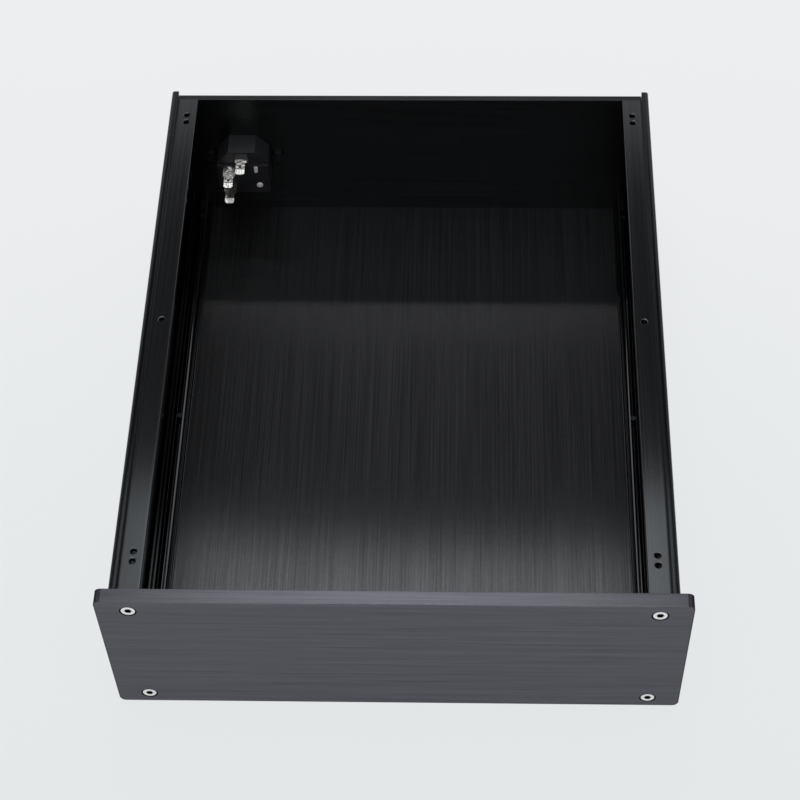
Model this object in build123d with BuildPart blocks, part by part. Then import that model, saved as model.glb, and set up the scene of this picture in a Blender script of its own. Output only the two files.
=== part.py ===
from build123d import *
import os

# An amplifier chassis without its top cover. Millimetres, X to the right as seen from the
# front, Y towards the rear, Z up. The origin is the middle of the bounding box, on the
# surface that the chassis stands on.

# Box
height = 90.0
body_width = 248.0
rail_length = 301.0
panel_overhang = 6.0  # of the front panel past the rails, each side
panel_thickness = 7.0
panel_corner = 3.0
panel_edge = 0.4
plate_thickness = 3.0  # bottom plate, rear panel and the rebate that takes the cover
plate_gap = 0.5  # between a plate's side and the rim beside it

# Rail section
side_wall = 3.5
flange_reach = 13.5  # from the outer face to the flange's free edge
flange_thickness = 3.5
rim_round = 1.5
flange_round = 0.5
channel_inset = 8.6  # from the outer face to the screw channel's middle
channel_radius = 3.6
channel_slot = 2.8

# Screws of the panels
thread_gap = 0.05  # thread flanks are left out, so a shank has this clearance all round
head_gap = 0.05
panel_screw_inset = 7.5  # from the top and bottom edges
m4_radius = 2.0
m4_clearance = 2.25
cap_head_radius = 3.5
cap_head_height = 4.0
cap_socket = 3.0
cap_screw_length = 16.0
counterbore_radius = 3.8
counterbore_depth = 4.2
m4_flat_head_radius = 3.75
m4_flat_socket = 2.5
m4_flat_length = 10.0

# Tapped holes of the flanges, for the cover above and the bottom plate below
m3_radius = 1.5
m3_clearance = 1.7
m3_hole_mouth = 1.8
first_row = 18.5  # from the rail's front end to the middle of the first pair
last_row_inset = 16.5  # from the middle of the last pair to the rail's rear end
pair_spacing = 5.0
m3_flat_head_radius = 3.0
m3_flat_socket = 2.0
m3_flat_length = 8.0
cap_head_edge = 0.4
socket_share = 0.6  # of the head's height

# Mains inlet
inlet_inset = 31.0  # from the left rail's rim to the inlet's middle
inlet_z = 45.7
inlet_gap = 0.2
inlet_flange_width = 48.0
inlet_flange_height = 35.5
inlet_flange_thickness = 3.0
inlet_flange_corner = 3.0
inlet_flange_edge = 0.8
inlet_width = 27.2
inlet_height = 29.3
inlet_corner_x = 6.5
inlet_corner_z = 7.6
inlet_behind_panel = 12.8
inlet_step = 1.2  # how far the fuse part stands out behind the socket part
inlet_step_top = 5.8  # above the housing's middle
inlet_screw_spacing = 36.0
inlet_screw_length = 10.0
nut_flats = 5.5
nut_thickness = 2.4

# Mains socket
socket_width = 24.2
socket_height = 16.6
socket_corner = 6.0
socket_depth = 16.0
socket_rise = 5.3  # of the socket's middle above the housing's middle
pin_spacing = 14.0
pin_stagger = 2.0  # the earth pin above, the other two below the socket's middle
pin_width = 2.0
pin_height = 4.0
pin_length = 13.5
pin_gap = 0.05
pin_point = 0.4
line_stub_width = 1.2
line_stub_length = 0.8
earth_boss_width = 6.4
earth_boss_reach = 3.0
earth_boss_height = 1.05

# Solder tabs
tab_thickness = 0.8
tab_root_width = 6.4
tab_root_length = 5.5
tab_width = 4.8
tab_length = 12.9
tab_hole_radius = 0.8
tab_hole_inset = 4.6
tab_tip_length = 2.6
tab_tip_corner = 1.2
tab_tip_bend = 25.0  # degrees downwards
earth_tab_drop = 1.85  # from the housing's top to the earth tab's upper face

# Fuse and its drawer
chamber_width = 24.0
chamber_height = 8.2
chamber_depth = 15.0
chamber_drop = 8.8  # of the chamber's middle below the housing's middle
drawer_gap = 0.2
drawer_floor = 1.0
drawer_rear_wall = 0.8
drawer_face_depth = 6.8
drawer_face_notch = 1.2
drawer_notch_width = 9.0
drawer_tray_width = 19.6
fuse_length = 20.0
fuse_cap_radius = 2.6
fuse_cap_length = 5.5
fuse_cap_wall = 0.2
fuse_tube_radius = 2.35
fuse_tube_wall = 0.5
fuse_seat_gap = 0.05
contact_gap = 0.25
contact_thickness = 0.6
contact_height = 5.0
contact_foot = 4.4
foot_thickness = 0.8
rivet_offset = 8.2
rivet_radius = 1.0
rivet_head_radius = 1.7
rivet_head_height = 0.8
fuse_tab_offset = 7.4

# Places worked out from the sizes above
overall_depth = panel_thickness + rail_length + inlet_flange_thickness
front_y = -overall_depth / 2
panel_back_y = front_y + panel_thickness
rear_y = panel_back_y + rail_length
rear_inside_y = rear_y - plate_thickness
flange_face_y = rear_y + inlet_flange_thickness
panel_width = body_width + 2 * panel_overhang
rim_x = body_width / 2 - side_wall
channel_x = body_width / 2 - channel_inset
plate_width = 2 * (rim_x - plate_gap)
inlet_x = inlet_inset - rim_x
flange_top = height - plate_thickness
screw_drop = height / 2 - panel_screw_inset
last_row = rail_length - last_row_inset
middle_row = (first_row + last_row) / 2
row_places = [
    first_row - pair_spacing / 2,
    first_row + pair_spacing / 2,
    middle_row,
    last_row - pair_spacing / 2,
    last_row + pair_spacing / 2,
]
flange_holes = [(side * channel_x, panel_back_y + row) for side in (-1, 1) for row in row_places]
plate_rows = [row_places[0], row_places[2], row_places[4]]
plate_holes = [(side * channel_x, panel_back_y + row) for side in (-1, 1) for row in plate_rows]
housing_back_y = rear_inside_y - inlet_behind_panel
socket_floor_y = flange_face_y - socket_depth
socket_z = inlet_z + socket_rise
chamber_floor_y = flange_face_y - chamber_depth
chamber_z = inlet_z - chamber_drop
fuse_back_y = housing_back_y - inlet_step
pin_tip_y = socket_floor_y + pin_length
earth_tab_z = inlet_z + inlet_height / 2 - earth_tab_drop - tab_thickness
contact_x = fuse_length / 2 + contact_gap + contact_thickness / 2
contact_length = chamber_depth - drawer_face_depth - drawer_gap
drawer_back_y = chamber_floor_y + foot_thickness + drawer_gap
fuse_y = drawer_back_y + drawer_rear_wall + fuse_seat_gap + fuse_cap_radius
drawer_wall_y = fuse_y + fuse_cap_radius + fuse_seat_gap

os.makedirs("parts", exist_ok=True)


def upright(y, x=0.0, z=0.0):
    """Vertical plane at y that faces the front; its own y runs up."""
    return Plane((x, y, z), x_dir=(1, 0, 0), z_dir=(0, -1, 0))


def rearward(y, x=0.0, z=0.0):
    """Vertical plane at y that faces the rear; its own y runs up."""
    return Plane((x, y, z), x_dir=(-1, 0, 0), z_dir=(0, 1, 0))


def finish(piece, label):
    """Names a finished piece and writes it to its own file."""
    piece.part.label = label
    export_step(piece.part, f"parts/{label}.step")


# Front panel: a thick plate with its screws sunk in counterbores.
with BuildPart() as front_panel:
    with BuildSketch(upright(panel_back_y, z=height / 2)):
        RectangleRounded(panel_width, height, panel_corner)
    extrude(amount=panel_thickness)
    chamfer(front_panel.faces().sort_by(Axis.Y)[0].edges(), panel_edge)
    with Locations(upright(front_y, z=height / 2)):
        with GridLocations(2 * channel_x, 2 * screw_drop, 2, 2):
            CounterBoreHole(m4_clearance, counterbore_radius, counterbore_depth)
finish(front_panel, "front_panel")


# Side rails: one C section, with a screw channel on each flange and a rim that stands
# above the flange by the thickness of the plate that lies there.
with BuildPart() as right_side_rail:
    with BuildSketch(upright(rear_y)) as section:
        with Locations((body_width / 2, 0)):
            Rectangle(side_wall, height, align=(Align.MAX, Align.MIN))
        for level in (plate_thickness, flange_top - flange_thickness):
            with Locations((body_width / 2, level)):
                Rectangle(flange_reach, flange_thickness, align=(Align.MAX, Align.MIN))
        for level, fold in ((panel_screw_inset, Align.MAX), (height - panel_screw_inset, Align.MIN)):
            with Locations((channel_x, level)):
                Circle(channel_radius)
                Rectangle(2 * channel_radius, panel_screw_inset - plate_thickness, align=(Align.CENTER, fold))
        for level, fold in ((panel_screw_inset, Align.MIN), (height - panel_screw_inset, Align.MAX)):
            with Locations((channel_x, level)):
                Circle(m4_radius + thread_gap, mode=Mode.SUBTRACT)
                slot = Rectangle(channel_slot, 2 * channel_radius, align=(Align.CENTER, fold), mode=Mode.SUBTRACT)
        fillet(section.vertices().group_by(Axis.X)[-1], rim_round)
        fillet(section.vertices().group_by(Axis.X)[0], flange_round)
    extrude(amount=rail_length)

    # The flanges stop short of the rims, and the rear panel sits in that step.
    with BuildSketch(upright(rear_y)):
        with Locations((rim_x, 0)):
            Rectangle(flange_reach, height, align=(Align.MAX, Align.MIN))
    extrude(amount=plate_thickness, mode=Mode.SUBTRACT)

    # Tapped holes run from each flange's outer face into the screw channel.
    right_holes = [(x, y) for x, y in flange_holes if x > 0]
    with Locations(*[Location((x, y, flange_top)) for x, y in right_holes]):
        CounterSinkHole(m3_radius, m3_hole_mouth, panel_screw_inset - plate_thickness, 90)
    with Locations(*[Location((x, y, plate_thickness), (180, 0, 0)) for x, y in right_holes]):
        CounterSinkHole(m3_radius + thread_gap, m3_hole_mouth, panel_screw_inset - plate_thickness, 90)
finish(right_side_rail, "right_side_rail")

with BuildPart() as left_side_rail:
    mirror(right_side_rail.part, about=Plane.YZ)
finish(left_side_rail, "left_side_rail")


# Bottom plate: lies between the lower rims, screwed up into the outer hole of each pair
# and the middle hole, because the heads are too wide for both holes of a pair.
with BuildPart() as bottom_plate:
    with BuildSketch(Plane.XY):
        with Locations((0, panel_back_y)):
            Rectangle(plate_width, rail_length, align=(Align.CENTER, Align.MIN))
    extrude(amount=plate_thickness)
    with Locations(*[Location((x, y, 0), (180, 0, 0)) for x, y in plate_holes]):
        CounterSinkHole(m3_clearance, m3_clearance + m3_flat_head_radius - m3_radius + head_gap, None, 90)
finish(bottom_plate, "bottom_plate")


def housing_outline():
    """Outline of the inlet housing: a rectangle with its two upper corners cut off."""
    half_width, half_height = inlet_width / 2, inlet_height / 2
    Polyline(
        (-half_width, -half_height),
        (half_width, -half_height),
        (half_width, half_height - inlet_corner_z),
        (half_width - inlet_corner_x, half_height),
        (inlet_corner_x - half_width, half_height),
        (-half_width, half_height - inlet_corner_z),
        close=True,
    )


# Rear panel: stands on the bottom plate between the rims, cut out for the inlet.
with BuildPart() as rear_panel:
    with BuildSketch(upright(rear_y)):
        with Locations((0, plate_thickness)):
            Rectangle(plate_width, height - 2 * plate_thickness, align=(Align.CENTER, Align.MIN))
    extrude(amount=plate_thickness)
    with BuildSketch(upright(rear_y, inlet_x, inlet_z)):
        with BuildLine():
            housing_outline()
        make_face()
        offset(amount=inlet_gap, kind=Kind.INTERSECTION)
        with GridLocations(inlet_screw_spacing, 0, 2, 1):
            Circle(m3_clearance)
    extrude(amount=plate_thickness, mode=Mode.SUBTRACT)
    with Locations(rearward(rear_y, z=height / 2)):
        with GridLocations(2 * channel_x, 2 * screw_drop, 2, 2):
            CounterSinkHole(m4_clearance, m4_flat_head_radius + m4_clearance - m4_radius + head_gap, None, 90)
finish(rear_panel, "rear_panel")


def cap_screw(seat, label):
    """A hex socket cap screw whose head sits on the plane and whose shank runs behind it."""
    with BuildPart() as screw:
        with Locations(seat):
            Cylinder(cap_head_radius, cap_head_height, align=(Align.CENTER, Align.CENTER, Align.MIN))
        chamfer(screw.edges().filter_by(GeomType.CIRCLE).sort_by(Axis(seat.origin, seat.z_dir))[-1], cap_head_edge)
        with Locations(seat):
            Cylinder(m4_radius, cap_screw_length, align=(Align.CENTER, Align.CENTER, Align.MAX))
        with BuildSketch(seat.offset(cap_head_height)):
            RegularPolygon(cap_socket / 2, 6, major_radius=False)
        extrude(amount=-socket_share * cap_head_height, mode=Mode.SUBTRACT)
    finish(screw, label)


def flat_screw(face, shank_radius, head_radius, length, socket, label):
    """A countersunk screw with the flat of its head on the plane."""
    head_height = head_radius - shank_radius
    with BuildPart() as screw:
        with Locations(face):
            Cylinder(shank_radius, length, align=(Align.CENTER, Align.CENTER, Align.MAX))
            Cone(shank_radius, head_radius, head_height, align=(Align.CENTER, Align.CENTER, Align.MAX))
        with BuildSketch(face):
            RegularPolygon(socket / 2, 6, major_radius=False)
        extrude(amount=-socket_share * head_height, mode=Mode.SUBTRACT)
    finish(screw, label)


# Screws of the panels and the bottom plate, each a piece of its own.
corner_places = [(side * channel_x, height / 2 + end * screw_drop) for end in (1, -1) for side in (-1, 1)]
for number, (x, z) in enumerate(corner_places, start=1):
    cap_screw(upright(front_y + counterbore_depth, x, z), f"front_panel_screw_{number}")
    m4_face = rearward(rear_y - 2 * head_gap, x, z)
    flat_screw(m4_face, m4_radius, m4_flat_head_radius, m4_flat_length, m4_flat_socket, f"rear_panel_screw_{number}")
for number, (x, y) in enumerate(plate_holes, start=1):
    m3_face = Plane((x, y, 2 * head_gap), z_dir=(0, 0, -1))
    flat_screw(m3_face, m3_radius, m3_flat_head_radius, m3_flat_length, m3_flat_socket, f"bottom_plate_screw_{number}")


# Mains inlet: a moulded housing whose flange lies on the outside of the rear panel.
with BuildPart() as inlet_housing:
    with BuildSketch(upright(flange_face_y, inlet_x, inlet_z)):
        RectangleRounded(inlet_flange_width, inlet_flange_height, inlet_flange_corner)
    extrude(amount=inlet_flange_thickness)
    chamfer(inlet_housing.faces().sort_by(Axis.Y)[-1].edges(), inlet_flange_edge)
    with BuildSketch(upright(rear_y, inlet_x, inlet_z)):
        with BuildLine():
            housing_outline()
        make_face()
    extrude(amount=rear_y - housing_back_y)
    with BuildSketch(upright(housing_back_y, inlet_x, inlet_z - inlet_height / 2)):
        Rectangle(inlet_width, inlet_height / 2 + inlet_step_top, align=(Align.CENTER, Align.MIN))
    extrude(amount=inlet_step)
    with BuildSketch(upright(housing_back_y, inlet_x, earth_tab_z + tab_thickness)):
        Rectangle(earth_boss_width, earth_boss_height, align=(Align.CENTER, Align.MIN))
    extrude(amount=earth_boss_reach)

    # Socket for the mains connector, with its two upper corners cut off.
    with BuildSketch(upright(flange_face_y, inlet_x, socket_z)) as mouth:
        Rectangle(socket_width, socket_height)
        chamfer(mouth.vertices().group_by(Axis.Y)[-1], socket_corner)
    extrude(amount=socket_depth, mode=Mode.SUBTRACT)

    # Chamber of the fuse drawer.
    with BuildSketch(upright(flange_face_y, inlet_x, chamber_z)):
        Rectangle(chamber_width, chamber_height)
    extrude(amount=chamber_depth, mode=Mode.SUBTRACT)

    # Slots that the pins, the fuse tab and the rivet pass through.
    with BuildSketch(upright(socket_floor_y, inlet_x, socket_z)):
        with Locations((0, pin_stagger)):
            Rectangle(pin_width + 2 * pin_gap, pin_height + 2 * pin_gap)
        with Locations((-pin_spacing / 2, -pin_stagger), (pin_spacing / 2, -pin_stagger)):
            Rectangle(pin_width + 2 * pin_gap, pin_height + 2 * pin_gap)
    extrude(amount=socket_floor_y - fuse_back_y, mode=Mode.SUBTRACT)
    with BuildSketch(upright(chamber_floor_y, inlet_x, chamber_z)):
        with Locations((-fuse_tab_offset, 0)):
            Rectangle(tab_width + 2 * pin_gap, tab_thickness + 2 * pin_gap)
        with Locations((rivet_offset, 0)):
            Circle(rivet_radius + pin_gap)
    extrude(amount=chamber_floor_y - fuse_back_y, mode=Mode.SUBTRACT)

    # Countersunk holes for the two screws of the flange.
    with Locations(rearward(flange_face_y, inlet_x, inlet_z)):
        with GridLocations(inlet_screw_spacing, 0, 2, 1):
            CounterSinkHole(m3_clearance, m3_clearance + m3_flat_head_radius - m3_radius + head_gap, None, 90)
finish(inlet_housing, "inlet_housing")


def tab_outline():
    """Outline of a solder tab that runs towards the front: a wide root, a blade and an eye."""
    Rectangle(tab_root_width, tab_root_length, align=(Align.CENTER, Align.MAX))
    Rectangle(tab_width, tab_length - tab_tip_length, align=(Align.CENTER, Align.MAX))
    with Locations((0, tab_hole_inset - tab_length)):
        Circle(tab_hole_radius, mode=Mode.SUBTRACT)


def tip_outline():
    """Outline of the tab's tip, which starts at the end of the blade and has round corners."""
    tip = Rectangle(tab_width, tab_tip_length, align=(Align.CENTER, Align.MAX))
    fillet(tip.vertices().group_by(Axis.Y)[0], tab_tip_corner)


def tip_plane(x, root_y, tab_z):
    """Plane of the upper face of a tab's tip, which bends down from the end of the blade."""
    blade_end_y = root_y - tab_length + tab_tip_length
    return Plane((x, blade_end_y, tab_z + tab_thickness)).rotated((tab_tip_bend, 0, 0))


def pin_terminal(offset, rise, back_y, tab_z, label):
    """A pin of the socket, a plate that lies on the housing's back, and a solder tab, in one piece."""
    pin_x, pin_z = inlet_x + offset, socket_z + rise
    with BuildPart() as terminal:
        with BuildSketch(upright(pin_tip_y, pin_x, pin_z)):
            Rectangle(pin_width, pin_height)
        extrude(amount=pin_tip_y - back_y)
        chamfer(terminal.faces().sort_by(Axis.Y)[-1].edges(), pin_point)
        with BuildSketch(upright(back_y, pin_x, tab_z + tab_thickness)):
            Rectangle(tab_root_width, tab_z + tab_thickness - pin_z, align=(Align.CENTER, Align.MAX))
        extrude(amount=tab_thickness)
        with BuildSketch(Plane((pin_x, back_y, tab_z))):
            tab_outline()
        extrude(amount=tab_thickness)
        with BuildSketch(tip_plane(pin_x, back_y, tab_z)):
            tip_outline()
        extrude(amount=-tab_thickness)
    finish(terminal, label)


pin_terminal(0, pin_stagger, housing_back_y, earth_tab_z, "earth_terminal")
pin_terminal(-pin_spacing / 2, -pin_stagger, fuse_back_y, socket_z - pin_stagger - tab_thickness / 2, "neutral_terminal")

# Line pin: no tab, because it feeds the fuse inside the housing; its stub is cut thin.
with BuildPart() as line_pin:
    with BuildSketch(upright(pin_tip_y, inlet_x + pin_spacing / 2, socket_z - pin_stagger)):
        Rectangle(pin_width, pin_height)
    extrude(amount=pin_tip_y - fuse_back_y)
    chamfer(line_pin.faces().sort_by(Axis.Y)[-1].edges(), pin_point)
    with BuildSketch(upright(fuse_back_y, inlet_x + pin_spacing / 2, socket_z - pin_stagger)):
        Rectangle(line_stub_width, pin_height)
    extrude(amount=line_stub_length)
finish(line_pin, "line_pin")


def fuse_contact(side):
    """The bent strip at one end of the fuse: a foot on the chamber's floor and a side plate."""
    foot_x = contact_x + contact_thickness / 2 - contact_foot / 2
    seat = (Align.CENTER, Align.MIN, Align.CENTER)
    with Locations((inlet_x + side * foot_x, chamber_floor_y, chamber_z)):
        Box(contact_foot, foot_thickness, contact_height, align=seat)
    with Locations((inlet_x + side * contact_x, chamber_floor_y, chamber_z)):
        Box(contact_thickness, contact_length, contact_height, align=seat)


# Fuse terminal: the left contact, with a solder tab that runs out behind the housing.
with BuildPart() as fuse_terminal:
    fuse_contact(-1)
    with BuildSketch(upright(chamber_floor_y, inlet_x - fuse_tab_offset, chamber_z)):
        Rectangle(tab_width, tab_thickness)
    extrude(amount=chamber_floor_y - fuse_back_y)
    with BuildSketch(Plane((inlet_x - fuse_tab_offset, fuse_back_y, chamber_z - tab_thickness / 2))):
        tab_outline()
    extrude(amount=tab_thickness)
    with BuildSketch(tip_plane(inlet_x - fuse_tab_offset, fuse_back_y, chamber_z - tab_thickness / 2)):
        tip_outline()
    extrude(amount=-tab_thickness)
finish(fuse_terminal, "fuse_terminal")

# Fuse link: the right contact, held by a rivet whose head shows behind the housing.
with BuildPart() as fuse_link:
    fuse_contact(1)
    with BuildSketch(upright(chamber_floor_y, inlet_x + rivet_offset, chamber_z)):
        Circle(rivet_radius)
    extrude(amount=chamber_floor_y - fuse_back_y)
    with BuildSketch(upright(fuse_back_y, inlet_x + rivet_offset, chamber_z)):
        Circle(rivet_head_radius)
    extrude(amount=rivet_head_height)
    chamfer(fuse_link.faces().sort_by(Axis.Y)[0].edges(), rivet_head_height / 2)
finish(fuse_link, "fuse_link")


# Fuse drawer: a tray that slides out to the rear with the fuse lying across it.
with BuildPart() as fuse_drawer:
    drawer_height = chamber_height - 2 * drawer_gap
    with BuildSketch(upright(flange_face_y, inlet_x, chamber_z)):
        Rectangle(chamber_width - 2 * drawer_gap, drawer_height)
    extrude(amount=drawer_face_depth)
    with BuildSketch(upright(flange_face_y, inlet_x, chamber_z - drawer_height / 2)):
        Rectangle(drawer_tray_width, drawer_height, align=(Align.CENTER, Align.MIN))
    extrude(amount=flange_face_y - drawer_back_y)
    with BuildSketch(upright(drawer_wall_y, inlet_x, chamber_z - drawer_height / 2 + drawer_floor)):
        Rectangle(chamber_width, chamber_height, align=(Align.CENTER, Align.MIN))
    extrude(amount=drawer_wall_y - drawer_back_y - drawer_rear_wall, mode=Mode.SUBTRACT)
    with BuildSketch(upright(drawer_back_y + drawer_rear_wall, inlet_x, chamber_z)):
        Rectangle(chamber_width, chamber_height, align=(Align.CENTER, Align.MIN))
    extrude(amount=drawer_rear_wall, mode=Mode.SUBTRACT)
    with BuildSketch(upright(flange_face_y, inlet_x, chamber_z + drawer_height / 2)):
        Rectangle(drawer_notch_width, 2 * drawer_face_notch)
    extrude(amount=drawer_face_notch, mode=Mode.SUBTRACT)
finish(fuse_drawer, "fuse_drawer")


# Fuse: a glass tube whose ends sit in two metal caps.
fuse_z = chamber_z - chamber_height / 2 + drawer_gap + drawer_floor + fuse_seat_gap + fuse_cap_radius
with BuildPart() as fuse_tube:
    with BuildSketch(Plane((inlet_x, fuse_y, fuse_z), z_dir=(1, 0, 0))):
        Circle(fuse_tube_radius)
        Circle(fuse_tube_radius - fuse_tube_wall, mode=Mode.SUBTRACT)
    extrude(amount=fuse_length / 2 - fuse_cap_wall, both=True)
finish(fuse_tube, "fuse_tube")

for side, label in ((-1, "fuse_cap_left"), (1, "fuse_cap_right")):
    end = Plane((inlet_x + side * fuse_length / 2, fuse_y, fuse_z), z_dir=(side, 0, 0))
    with BuildPart() as fuse_cap:
        with BuildSketch(end):
            Circle(fuse_cap_radius)
        extrude(amount=-fuse_cap_length)
        with BuildSketch(end.offset(-fuse_cap_wall)):
            Circle(fuse_tube_radius + fuse_seat_gap)
        extrude(amount=-fuse_cap_length, mode=Mode.SUBTRACT)
    finish(fuse_cap, label)


# Screws of the inlet, from outside through its flange, with nuts behind the rear panel.
for number, side in enumerate((-1, 1), start=1):
    screw_x = inlet_x + side * inlet_screw_spacing / 2
    m3_face = rearward(flange_face_y - 2 * head_gap, screw_x, inlet_z)
    flat_screw(m3_face, m3_radius, m3_flat_head_radius, inlet_screw_length, m3_flat_socket, f"inlet_screw_{number}")
    with BuildPart() as inlet_nut:
        with BuildSketch(upright(rear_inside_y, screw_x, inlet_z)):
            RegularPolygon(nut_flats / 2, 6, major_radius=False)
            Circle(m3_radius + thread_gap, mode=Mode.SUBTRACT)
        extrude(amount=nut_thickness)
    finish(inlet_nut, f"inlet_nut_{number}")
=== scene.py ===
"""Finishes and studio for the open amplifier chassis.

Black anodised aluminium panels and rails, a moulded mains inlet with tinned tabs, and steel screws, on a
plain pale table under a broad overhead softbox, with a small lamp behind.
"""

import math

import bmesh
import bpy
from mathutils import Matrix, Vector


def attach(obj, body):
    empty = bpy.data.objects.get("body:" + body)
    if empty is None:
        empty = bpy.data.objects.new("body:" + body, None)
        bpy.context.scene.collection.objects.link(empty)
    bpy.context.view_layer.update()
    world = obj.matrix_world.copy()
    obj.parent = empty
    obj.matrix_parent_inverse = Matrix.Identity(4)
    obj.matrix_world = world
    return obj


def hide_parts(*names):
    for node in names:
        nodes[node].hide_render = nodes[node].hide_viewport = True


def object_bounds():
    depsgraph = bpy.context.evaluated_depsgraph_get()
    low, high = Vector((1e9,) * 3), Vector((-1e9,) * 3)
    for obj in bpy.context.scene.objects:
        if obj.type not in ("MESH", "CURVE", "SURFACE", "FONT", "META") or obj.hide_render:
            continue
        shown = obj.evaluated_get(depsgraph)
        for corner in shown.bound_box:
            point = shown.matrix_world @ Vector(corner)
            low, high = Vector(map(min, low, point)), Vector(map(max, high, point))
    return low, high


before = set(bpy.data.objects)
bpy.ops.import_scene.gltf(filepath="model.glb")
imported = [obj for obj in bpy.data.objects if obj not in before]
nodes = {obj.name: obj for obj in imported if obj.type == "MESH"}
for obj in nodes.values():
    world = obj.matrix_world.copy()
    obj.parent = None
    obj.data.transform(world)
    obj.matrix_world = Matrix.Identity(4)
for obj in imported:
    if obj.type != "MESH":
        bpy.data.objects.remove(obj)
solid_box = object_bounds()

# Places on the chassis that the finishes follow, in metres.
hole_row = 0.1154  # the rails' rows of holes, either side of the middle
hole_reach = 0.0021  # from there past a hole's wall, short of the flange's edges
hole_middle = 0.08528  # half way down a tapped hole in an upper flange
hole_half_depth = 0.00169
rim_start = 0.1198  # just inside the rails' standing rims
rear_end = 0.1195  # just inside the rear panel's ends
rear_closed = 0.12042  # how far those ends reach in the scene, close to the rims

# Most of a noise lies between these two, so what follows it starts and stops there.
noise_span = {"From Min": 0.3, "From Max": 0.7}


# Colours and nodes

def colour(code):
    """sRGB hex to the linear colour that a socket takes."""
    parts = [int(code[i:i + 2], 16) / 255 for i in (1, 3, 5)]
    return [p / 12.92 if p <= 0.04045 else ((p + 0.055) / 1.055) ** 2.4 for p in parts] + [1]


def add(tree, kind, settings=None, links=None):
    """One node with its own settings, its typed-in inputs and the outputs that feed it.

    The stops of a colour ramp are its two ends, each with its place and its hex colour.
    """
    node = tree.nodes.new("ShaderNode" + kind)
    for name, value in (settings or {}).items():
        if name == "stops":
            for stop, (place, code) in zip(node.color_ramp.elements, value):
                stop.position = place
                stop.color = colour(code)
        elif isinstance(name, int) or name in node.inputs:
            node.inputs[name].default_value = value
        else:
            setattr(node, name, value)
    for name, source in (links or {}).items():
        tree.links.new(source, node.inputs[name])
    return node


def per_mm(size):
    """Texture scale that repeats a pattern every so many millimetres."""
    return 1000 / size


def new_material(name, tint):
    """An empty node material with its flat viewport tint, and its nodes."""
    material = bpy.data.materials.new(name)
    material.use_nodes = True
    material.node_tree.nodes.clear()
    material.diffuse_color = colour(tint)
    return material, material.node_tree


def stretched_noise(tree, across, along, axis, offset, detail=3.0, roughness=0.6):
    """Noise as fine as across and drawn out to along, both in mm, down one axis."""
    place = add(tree, "TexCoord")
    scale = [per_mm(across)] * 3
    scale["XYZ".index(axis)] = per_mm(along)
    mapped = add(tree, "Mapping", {"Location": (offset, offset * 0.7, offset * 1.3), "Scale": scale},
                 {"Vector": place.outputs["Object"]})
    return add(tree, "TexNoise", {"Scale": 1.0, "Detail": detail, "Roughness": roughness},
               {"Vector": mapped.outputs["Vector"]})


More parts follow.
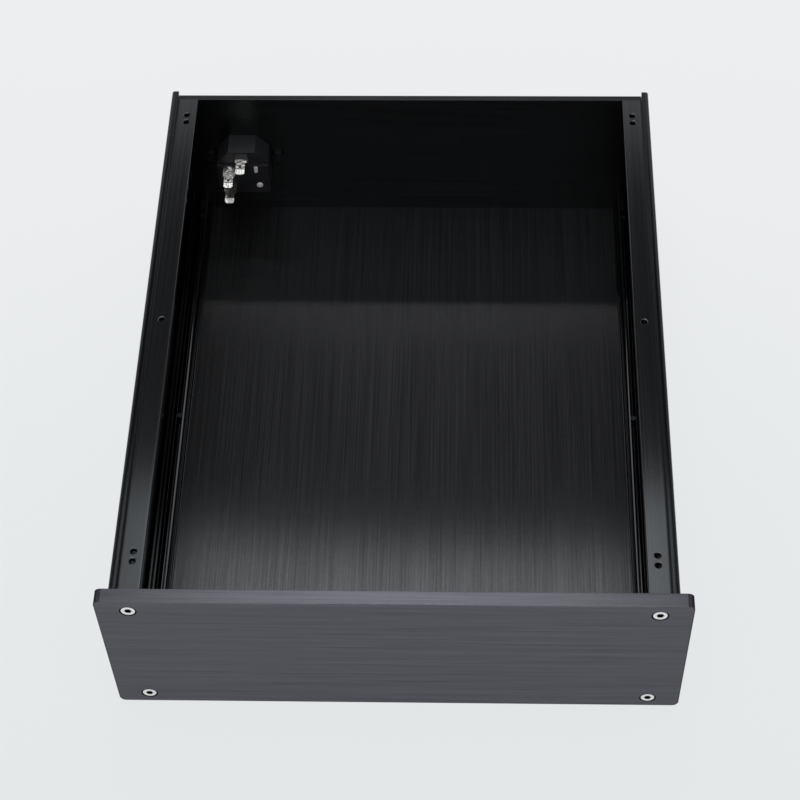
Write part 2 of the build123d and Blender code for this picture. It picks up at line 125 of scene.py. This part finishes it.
def brushed_anodised(name, axis, dark, light, rough, metallic, line=0.35, run=120.0, cut=0.06,
                     edge="#ffffff", milled_and_shaded=1.0, offset=0.0):
    """Black anodised aluminium over a belt-brushed sheet.

    The brush leaves hairlines down one axis. They hold the dye unevenly, so the black goes from near black to
    a cool dark grey, and their sides throw the gloss far across the lines while it stays tight along them.
    Line is how wide they are drawn, run how long and cut how deep, in mm. Edge is the gloss's tint at a low
    angle. Faces turned away from the sheet's face, its milled edges and the counterbore walls, are darker:
    partly the dye, which the milled edges take more of, and partly painted shade in the counterbores round
    the screws. milled_and_shaded is how light they are beside its faces.
    """
    material, tree = new_material(name, light)
    # Belt lines are about 0.05 mm apart; these are drawn some tenths of a millimetre wide to show.
    streaks = stretched_noise(tree, line, run, axis, offset, 2.0, 0.7)
    # Wider bands where the belt bit harder, a few mm across and most of a sheet long.
    bands = stretched_noise(tree, 6.0, 260.0, axis, offset + 3.1, 2.0, 0.5)
    mixed = add(tree, "Mix", {"data_type": "FLOAT", "Factor": 0.05},
                {2: streaks.outputs["Fac"], 3: bands.outputs["Fac"]})
    tone = add(tree, "ValToRGB", {"stops": ((0.3, dark), (0.7, light))}, {"Fac": mixed.outputs[0]})
    gloss = add(tree, "MapRange", {**noise_span, "To Min": rough - 0.03, "To Max": rough + 0.03},
                {"Value": streaks.outputs["Fac"]})
    facing = add(tree, "NewGeometry")
    split = add(tree, "SeparateXYZ", None, {"Vector": facing.outputs["True Normal"]})
    face = add(tree, "Math", {"operation": "ABSOLUTE"}, {0: split.outputs["Y" if axis == "X" else "Z"]})
    # Faces turned away from the sheet's face are darker: partly dye on milled edges, partly painted shade in
    # the counterbores.
    share = add(tree, "MapRange", {"From Min": 0.3, "From Max": 0.8, "To Min": milled_and_shaded, "To Max": 1.0},
                {"Value": face.outputs[0]})
    # Dye soaks deepest into the cut ends, where the lines run out.
    end = add(tree, "Math", {"operation": "ABSOLUTE"}, {0: split.outputs[axis]})
    soaked = add(tree, "MapRange", {"From Min": 0.3, "From Max": 0.9, "To Min": 1.0, "To Max": 0.3},
                 {"Value": end.outputs[0]})
    kept = add(tree, "Math", {"operation": "MULTIPLY"},
               {0: share.outputs["Result"], 1: soaked.outputs["Result"]})
    dyed_and_darkened = add(tree, "VectorMath", {"operation": "SCALE"},
               {0: tone.outputs["Color"], "Scale": kept.outputs[0]})
    # The scratches themselves, a few to a pixel, whose flanks do the spreading.
    scratches = stretched_noise(tree, 0.16, run, axis, offset + 6.2, 2.0, 0.5)
    # Sheared and deburred edges, broken by a few tenths of a millimetre.
    edges = add(tree, "Bevel", {"samples": 6, "Radius": 0.0004})
    relief = add(tree, "Bump", {"Strength": 1.0, "Distance": cut / 1000},
                 {"Height": scratches.outputs["Fac"], "Normal": edges.outputs["Normal"]})
    # Not quite along the axis, so that the cross product holds on the cut ends too.
    lines = Vector((1.0, 0.02, 0.01)) if axis == "X" else Vector((0.02, 1.0, 0.01))
    across = add(tree, "VectorMath", {"operation": "CROSS_PRODUCT", 1: lines},
                 {0: facing.outputs["True Normal"]})
    skin = add(tree, "BsdfPrincipled",
               {"Metallic": metallic, "Anisotropic": 1.0, "Specular Tint": colour(edge)},
               {"Base Color": dyed_and_darkened.outputs["Vector"], "Roughness": gloss.outputs["Result"],
                "Normal": relief.outputs["Normal"], "Tangent": across.outputs["Vector"]})
    add(tree, "OutputMaterial", None, {"Surface": skin.outputs[0]})
    return material


def extruded_anodised(name, dark, light, rough, bare):
    """Black anodised aluminium extrusion, drilled and tapped after it was dyed.

    The die leaves faint lines down the length and the etch before the dye leaves a fine satin, so it is
    smoother than the brushed sheets and its highlights run the length of the rail. The tapped holes show bare
    metal.
    """
    material, tree = new_material(name, light)
    lines = stretched_noise(tree, 0.7, 400.0, "Y", 0.0, 3.0, 0.55)
    # Etch grain is about 0.02 mm; it is drawn at 0.35 mm to show.
    grain = stretched_noise(tree, 0.35, 0.35, "Y", 5.3, 2.0, 0.5)
    mixed = add(tree, "Mix", {"data_type": "FLOAT", "Factor": 0.35},
                {2: lines.outputs["Fac"], 3: grain.outputs["Fac"]})
    tone = add(tree, "ValToRGB", {"stops": ((0.35, dark), (0.68, light))}, {"Fac": mixed.outputs[0]})
    gloss = add(tree, "MapRange", {**noise_span, "To Min": rough - 0.02, "To Max": rough + 0.03},
                {"Value": mixed.outputs[0]})

    # The only surfaces inside the upper flange at the hole rows are the holes' own walls.
    place = add(tree, "TexCoord")
    split = add(tree, "SeparateXYZ", None, {"Vector": place.outputs["Object"]})
    spread = add(tree, "Math", {"operation": "ABSOLUTE"}, {0: split.outputs["X"]})
    beside = add(tree, "Math", {"operation": "COMPARE", 1: hole_row, 2: hole_reach}, {0: spread.outputs[0]})
    within = add(tree, "Math", {"operation": "COMPARE", 1: hole_middle, 2: hole_half_depth},
                 {0: split.outputs["Z"]})
    tapped = add(tree, "Math", {"operation": "MULTIPLY"}, {0: beside.outputs[0], 1: within.outputs[0]})
    skin_tone = add(tree, "Mix", {"data_type": "RGBA", 7: colour(bare)},
                    {0: tapped.outputs[0], 6: tone.outputs["Color"]})
    # The threads are 0.5 mm apart. They are drawn coarser to show: a wave is pi / 10 of its scale's length,
    # so 10 mm draws them 3.14 mm apart.
    thread = add(tree, "TexWave", {"wave_type": "BANDS", "bands_direction": "Z", "Scale": per_mm(10),
                                   "Distortion": 0.0, "Detail": 0.0}, {"Vector": place.outputs["Object"]})
    height = add(tree, "Mix", {"data_type": "FLOAT"},
                 {0: tapped.outputs[0], 2: mixed.outputs[0], 3: thread.outputs["Fac"]})
    depth = add(tree, "MapRange", {"To Min": 0.000002, "To Max": 0.00012}, {"Value": tapped.outputs[0]})

    # The die rounds the standing rim over its whole width and breaks the other edges by a few tenths.
    rim = add(tree, "Math", {"operation": "GREATER_THAN", 1: rim_start}, {0: spread.outputs[0]})
    round_off = add(tree, "MapRange", {"To Min": 0.0003, "To Max": 0.0017}, {"Value": rim.outputs[0]})
    edges = add(tree, "Bevel", {"samples": 6}, {"Radius": round_off.outputs["Result"]})
    relief = add(tree, "Bump", {"Strength": 0.6},
                 {"Height": height.outputs[0], "Distance": depth.outputs["Result"],
                  "Normal": edges.outputs["Normal"]})
    # The rim and the outer side are darker, at 0.45 of the rest.
    share = add(tree, "MapRange", {"To Min": 1.0, "To Max": 0.45}, {"Value": rim.outputs[0]})
    dyed_and_darkened = add(tree, "VectorMath", {"operation": "SCALE"},
               {0: skin_tone.outputs[2], "Scale": share.outputs["Result"]})
    skin = add(tree, "BsdfPrincipled", {"Metallic": 0.98},
               {"Base Color": dyed_and_darkened.outputs["Vector"], "Roughness": gloss.outputs["Result"],
                "Normal": relief.outputs["Normal"]})
    add(tree, "OutputMaterial", None, {"Surface": skin.outputs[0]})
    return material


def turned_steel(name, dark, light, metallic, rough, ring=0.25, swell=0.008, sides=1.0, offset=0.0):
    """Small machined or plated parts: tool marks or plating swells, duller in the low spots.

    Ring is how far apart the marks are and swell how high, in mm. The sides of a sunk screw's head and the
    walls of its socket are darkened with painted shade: sides is how light they are beside its face.
    """
    material, tree = new_material(name, light)
    marks = stretched_noise(tree, ring, ring, "Y", offset, 3.0, 0.6)
    tone = add(tree, "ValToRGB", {"stops": ((0.3, dark), (0.7, light))}, {"Fac": marks.outputs["Fac"]})
    gloss = add(tree, "MapRange", {**noise_span, "To Min": rough + 0.05, "To Max": rough - 0.05},
                {"Value": marks.outputs["Fac"]})
    relief = add(tree, "Bump", {"Strength": 0.5, "Distance": swell / 1000}, {"Height": marks.outputs["Fac"]})
    facing = add(tree, "NewGeometry")
    split = add(tree, "SeparateXYZ", None, {"Vector": facing.outputs["True Normal"]})
    face = add(tree, "Math", {"operation": "ABSOLUTE"}, {0: split.outputs["Y"]})
    # Painted shade on faces that don't face front or back: the head's sides and the socket walls.
    share = add(tree, "MapRange", {"From Min": 0.8, "From Max": 0.95, "To Min": sides, "To Max": 1.0},
                {"Value": face.outputs[0]})
    shaded = add(tree, "VectorMath", {"operation": "SCALE"},
                  {0: tone.outputs["Color"], "Scale": share.outputs["Result"]})
    skin = add(tree, "BsdfPrincipled", {"Metallic": metallic},
               {"Base Color": shaded.outputs["Vector"], "Roughness": gloss.outputs["Result"],
                "Normal": relief.outputs["Normal"]})
    add(tree, "OutputMaterial", None, {"Surface": skin.outputs[0]})
    return material


def moulded_plastic(name, dark, light, rough):
    """Black glass-filled nylon from a spark-eroded mould: matt, finely pebbled, with a soft grey bloom."""
    material, tree = new_material(name, light)
    # Spark-erosion grain is about 0.1 mm; it is drawn at 0.3 mm to show.
    grain = stretched_noise(tree, 0.3, 0.3, "Y", 0.0, 3.0, 0.6)
    cloud = stretched_noise(tree, 9.0, 9.0, "Y", 2.2, 2.0, 0.5)
    mixed = add(tree, "Mix", {"data_type": "FLOAT", "Factor": 0.5},
                {2: grain.outputs["Fac"], 3: cloud.outputs["Fac"]})
    tone = add(tree, "ValToRGB", {"stops": ((0.35, dark), (0.65, light))}, {"Fac": mixed.outputs[0]})
    gloss = add(tree, "MapRange", {**noise_span, "To Min": rough - 0.06, "To Max": rough + 0.06},
                {"Value": grain.outputs["Fac"]})
    relief = add(tree, "Bump", {"Strength": 0.35, "Distance": 0.00003}, {"Height": grain.outputs["Fac"]})
    skin = add(tree, "BsdfPrincipled", {"IOR": 1.53},
               {"Base Color": tone.outputs["Color"], "Roughness": gloss.outputs["Result"],
                "Normal": relief.outputs["Normal"]})
    add(tree, "OutputMaterial", None, {"Surface": skin.outputs[0]})
    return material


def drawn_glass(name):
    """Soda-lime fuse tube: clear, with the faint ripple of drawn tubing."""
    material, tree = new_material(name, "#d8e0de")
    ripple = stretched_noise(tree, 2.0, 12.0, "X", 1.0, 1.0, 0.5)
    relief = add(tree, "Bump", {"Strength": 0.1, "Distance": 0.00001}, {"Height": ripple.outputs["Fac"]})
    tint = add(tree, "ValToRGB", {"stops": ((0.0, "#eef4f1"), (1.0, "#f8fbfa"))},
               {"Fac": ripple.outputs["Fac"]})
    skin = add(tree, "BsdfPrincipled", {"IOR": 1.52, "Roughness": 0.03, "Transmission Weight": 1.0},
               {"Base Color": tint.outputs["Color"], "Normal": relief.outputs["Normal"]})
    add(tree, "OutputMaterial", None, {"Surface": skin.outputs[0]})
    return material


# The panels' edges and counterbore walls are darkened, partly with painted shade round the sunk screws.
panel_finish = brushed_anodised("black anodised aluminium, brushed across the front", "X",
                                "#5f5e63", "#74737a", 0.24, 0.98, line=0.4, run=60.0, cut=0.02,
                                edge="#939398", milled_and_shaded=0.68, offset=1.7)
floor_finish = brushed_anodised("black anodised aluminium, brushed along the bottom", "Y",
                                "#3e3f40", "#666668", 0.19, 0.85, cut=0.055, offset=4.9)
rear_finish = brushed_anodised("black anodised aluminium, brushed rear sheet", "X",
                               "#3c3d3e", "#4e5051", 0.16, 0.97, milled_and_shaded=0.6, offset=8.3)
rail_finish = extruded_anodised("black anodised aluminium, extruded rail",
                                "#464749", "#555658", 0.1, "#88898b")
# The cap screws' sides and sockets carry painted shade: the dark ring round each sunk head.
cap_screw_finish = turned_steel("stainless steel, turned cap screw", "#e9e8e6", "#fdfcfb", 1.0, 0.28,
                                sides=0.08)
black_screw_finish = turned_steel("black oxide steel, rolled screw", "#2c2c2e", "#55565a", 0.9, 0.36,
                                  offset=2.6)
housing_finish = moulded_plastic("black glass-filled nylon, moulded", "#17181a", "#2b2b30", 0.46)
tab_finish = turned_steel("tinned brass, stamped tab", "#d6d3cc", "#f7f5f1", 1.0, 0.3, ring=1.5,
                          swell=1.2, offset=6.4)
# The tin on the rivet and the pin is dull and nearly white, so it shines less like a metal than the tabs.
rivet_finish = turned_steel("tinned brass, peened rivet", "#efede8", "#fbfaf6", 0.1, 0.45, ring=1.0,
                            swell=0.1, offset=3.3)
fuse_cap_finish = turned_steel("nickel-plated brass, drawn cap", "#bcb7ac", "#ddd8cd", 1.0, 0.2, offset=9.1)
fuse_glass_finish = drawn_glass("soda-lime glass, drawn tube")

# The rear panel closes up to both rims: the solid leaves half a millimetre a side, which would show as a
# bright slit.
rear_plate = bpy.data.objects.new("rear_plate", nodes["rear_panel"].data.copy())
for corner in rear_plate.data.vertices:
    if abs(corner.co.x) > rear_end:
        corner.co.x = math.copysign(rear_closed, corner.co.x)
bpy.context.scene.collection.objects.link(rear_plate)
rear_plate.data.materials.clear()
rear_plate.data.materials.append(rear_finish)
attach(rear_plate, "chassis")
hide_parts("rear_panel")

# The nodes that aren't named here are steel screws and nuts.
finishes = {
    "front_panel": panel_finish,
    "bottom_plate": floor_finish,
    "rear_panel": rear_finish,
    "left_side_rail": rail_finish,
    "right_side_rail": rail_finish,
    "inlet_housing": housing_finish,
    "fuse_drawer": housing_finish,
    "earth_terminal": tab_finish,
    "neutral_terminal": tab_finish,
    "fuse_terminal": tab_finish,
    "fuse_link": rivet_finish,
    "line_pin": rivet_finish,
    "fuse_cap_left": fuse_cap_finish,
    "fuse_cap_right": fuse_cap_finish,
    "fuse_tube": fuse_glass_finish,
}
for name, node in nodes.items():
    screw_finish = cap_screw_finish if name.startswith("front_panel_screw") else black_screw_finish
    node.data.materials.clear()
    node.data.materials.append(finishes.get(name, screw_finish))


# Table, light and camera

def table_paper():
    """Matt white paper sweep, one white all over, with painted light on it: pale grey in front and nearly
    white behind.

    Most of what the camera and the metal see of it is its own even tone, so that the shadows stay as faint as
    in a bright studio.
    """
    material, tree = new_material("white card, matt", "#e7ebec")
    place = add(tree, "TexCoord")
    split = add(tree, "SeparateXYZ", None, {"Vector": place.outputs["Object"]})
    # Lighter towards the back: painted light, not the paper's own colour.
    depth = add(tree, "MapRange", {"From Min": -0.3, "From Max": 0.3}, {"Value": split.outputs["Y"]})
    tone = add(tree, "ValToRGB", {"stops": ((0.0, "#e8eced"), (1.0, "#f2f3f5"))},
               {"Fac": depth.outputs["Result"]})
    card = add(tree, "BsdfPrincipled", {"Roughness": 0.9, "IOR": 1.3}, {"Base Color": tone.outputs["Color"]})
    glow = add(tree, "Emission", {"Strength": 1.0}, {"Color": tone.outputs["Color"]})
    ray = add(tree, "LightPath")
    mirrored = add(tree, "Math", {"operation": "MAXIMUM"},
                   {0: ray.outputs["Is Glossy Ray"], 1: ray.outputs["Is Transmission Ray"]})
    part = add(tree, "Math", {"operation": "MULTIPLY", 1: 0.75}, {0: mirrored.outputs[0]})
    share = add(tree, "Math", {"operation": "MULTIPLY_ADD", 1: 0.88},
                {0: ray.outputs["Is Camera Ray"], 2: part.outputs[0]})
    skin = add(tree, "MixShader", None, {0: share.outputs[0], 1: card.outputs[0], 2: glow.outputs[0]})
    add(tree, "OutputMaterial", None, {"Surface": skin.outputs[0]})
    return material


table_mesh = bpy.data.meshes.new("table")
shape = bmesh.new()
bmesh.ops.create_grid(shape, x_segments=8, y_segments=8, size=6.0)
shape.to_mesh(table_mesh)
shape.free()
table = bpy.data.objects.new("table", table_mesh)
bpy.context.scene.collection.objects.link(table)
# A fifth of a millimetre lower than the underside, so that the two don't flicker.
table.location = (0, 0, solid_box[0][2] - 0.0002)
table_mesh.materials.append(table_paper())

# The room: a dim ceiling, lighter over the front, pale walls lower down, a lit cove behind and two brighter
# corners beside it. The slopes are those of a ray from the chassis: back is how far it leans to the rear for
# its rise, width how far to either side.
world = bpy.data.worlds.new("studio")
bpy.context.scene.world = world
world.use_nodes = True
room = world.node_tree
room.nodes.clear()
sight = add(room, "TexCoord")
level = add(room, "SeparateXYZ", None, {"Vector": sight.outputs["Generated"]})
back = add(room, "Math", {"operation": "DIVIDE"}, {0: level.outputs["Y"], 1: level.outputs["Z"]})
side = add(room, "Math", {"operation": "DIVIDE"}, {0: level.outputs["X"], 1: level.outputs["Z"]})
width = add(room, "Math", {"operation": "ABSOLUTE"}, {0: side.outputs[0]})


def lit_patch(edges):
    """A soft-edged patch of the room: each edge is a measure, where it is dark and where it is fully lit."""
    patch = None
    for measure, dark, full in edges:
        edge = add(room, "MapRange", {"interpolation_type": "SMOOTHSTEP", "From Min": dark, "From Max": full},
                   {"Value": measure})
        patch = edge if patch is None else add(room, "Math", {"operation": "MULTIPLY"},
                                               {0: patch.outputs[0], 1: edge.outputs[0]})
    return patch


ceiling = lit_patch([(back.outputs[0], 0.60, 0.45), (back.outputs[0], -1.6, -1.2),
                     (width.outputs[0], 1.3, 1.0)])
front = lit_patch([(level.outputs["Z"], 0.6, 0.3), (level.outputs["Y"], -0.2, -0.6)])
cove = lit_patch([(back.outputs[0], 0.92, 1.0), (level.outputs["Z"], 0.30, 0.42)])
corners = lit_patch([(back.outputs[0], 0.76, 0.98), (width.outputs[0], 0.2, 0.4),
                     (level.outputs["Z"], 0.30, 0.42)])
# The walls are there all round, and each patch adds its own strength.
strength = add(room, "MapRange", {"interpolation_type": "SMOOTHSTEP", "From Min": 0.6, "From Max": 0.35,
                                  "To Min": 0.12, "To Max": 0.35}, {"Value": level.outputs["Z"]})
for patch, own in ((ceiling, 0.15), (front, 0.8), (cove, 0.75), (corners, 0.2)):
    strength = add(room, "Math", {"operation": "MULTIPLY_ADD", 1: own},
                   {0: patch.outputs[0], 2: strength.outputs[0]})
room_light = add(room, "Background", {"Color": colour("#fbfcff")}, {"Strength": strength.outputs[0]})
backdrop = add(room, "Background", {"Color": colour("#f4f4f6"), "Strength": 1.0})
ray = add(room, "LightPath")
wall = add(room, "MixShader", None, {0: ray.outputs["Is Camera Ray"], 1: room_light.outputs[0],
                                     2: backdrop.outputs[0]})
add(room, "OutputWorld", None, {"Surface": wall.outputs[0]})


def softbox(name, place, aim, width, height, power, tint, fade=None):
    """A rectangular lamp at place that points at aim.

    A lamp that hangs level can fade towards its edges: fade gives how far in, in metres, from its sides and
    from its back.
    """
    data = bpy.data.lights.new(name, "AREA")
    data.shape = "RECTANGLE"
    data.size, data.size_y = width, height
    data.energy = power
    data.color = colour(tint)[:3]
    if fade:
        data.use_nodes = True
        tree = data.node_tree
        tree.nodes.clear()
        spot = add(tree, "NewGeometry")
        split = add(tree, "SeparateXYZ", None, {"Vector": spot.outputs["Position"]})
        off = add(tree, "Math", {"operation": "SUBTRACT", 1: place[0]}, {0: split.outputs["X"]})
        reach = add(tree, "Math", {"operation": "ABSOLUTE"}, {0: off.outputs[0]})
        sides = add(tree, "MapRange", {"From Min": width / 2, "From Max": width / 2 - fade[0]},
                    {"Value": reach.outputs[0]})
        back_end = place[1] + height / 2
        back_edge = add(tree, "MapRange", {"interpolation_type": "SMOOTHSTEP", "From Min": back_end,
                                           "From Max": back_end - fade[1]}, {"Value": split.outputs["Y"]})
        both = add(tree, "Math", {"operation": "MULTIPLY"},
                   {0: sides.outputs["Result"], 1: back_edge.outputs["Result"]})
        light = add(tree, "Emission", {"Color": (1, 1, 1, 1)}, {"Strength": both.outputs[0]})
        add(tree, "OutputLight", None, {"Surface": light.outputs[0]})
    lamp = bpy.data.objects.new(name, data)
    lamp.location = place
    lamp.rotation_euler = (Vector(aim) - Vector(place)).to_track_quat("-Z", "Y").to_euler()
    lamp.visible_camera = False
    bpy.context.scene.collection.objects.link(lamp)


# One softbox overhead, brightest in its middle: its back edge is the line where the bottom plate turns to
# black.
softbox("overhead softbox", (-0.055, 0.115, 1.88), (-0.055, 0.115, 0.0), 1.14, 2.06, 18.3, "#f8feff",
        fade=(0.38, 0.1))
# A small lamp behind, over which the rear panel's top edge draws a sharp step in the bottom plate.
softbox("rear lamp", (-0.09, 1.65, 1.9), (0, 0, 0), 0.3, 0.12, 0.135, "#ffffff")

# The camera stands over the front, looking down into the tray, as it was worked out from the outline.
picture = 800  # the picture's side, and with it the focal length and the centre, in pixels
focal = 1996.3133227
centre_x, centre_y = 421.17854, 401.67934
film = 36.0  # in mm
tilt, yaw, roll = 0.6303660, 0.0433684, -0.0289278
eye = Vector((0.0336430, -0.5900282, 0.8346637))
camera_data = bpy.data.cameras.new("camera")
camera_data.sensor_width = film
camera_data.lens = film * focal / picture
camera_data.shift_x = (picture / 2 - centre_x) / picture
camera_data.shift_y = (centre_y - picture / 2) / picture
camera_data.clip_start = 0.01
camera = bpy.data.objects.new("camera", camera_data)
turn = Matrix.Rotation(yaw, 4, "Z") @ Matrix.Rotation(tilt, 4, "X") @ Matrix.Rotation(roll, 4, "Z")
camera.matrix_world = Matrix.Translation(eye) @ turn
bpy.context.scene.collection.objects.link(camera)
bpy.context.scene.camera = camera
bpy.context.scene.view_settings.view_transform = "Standard"
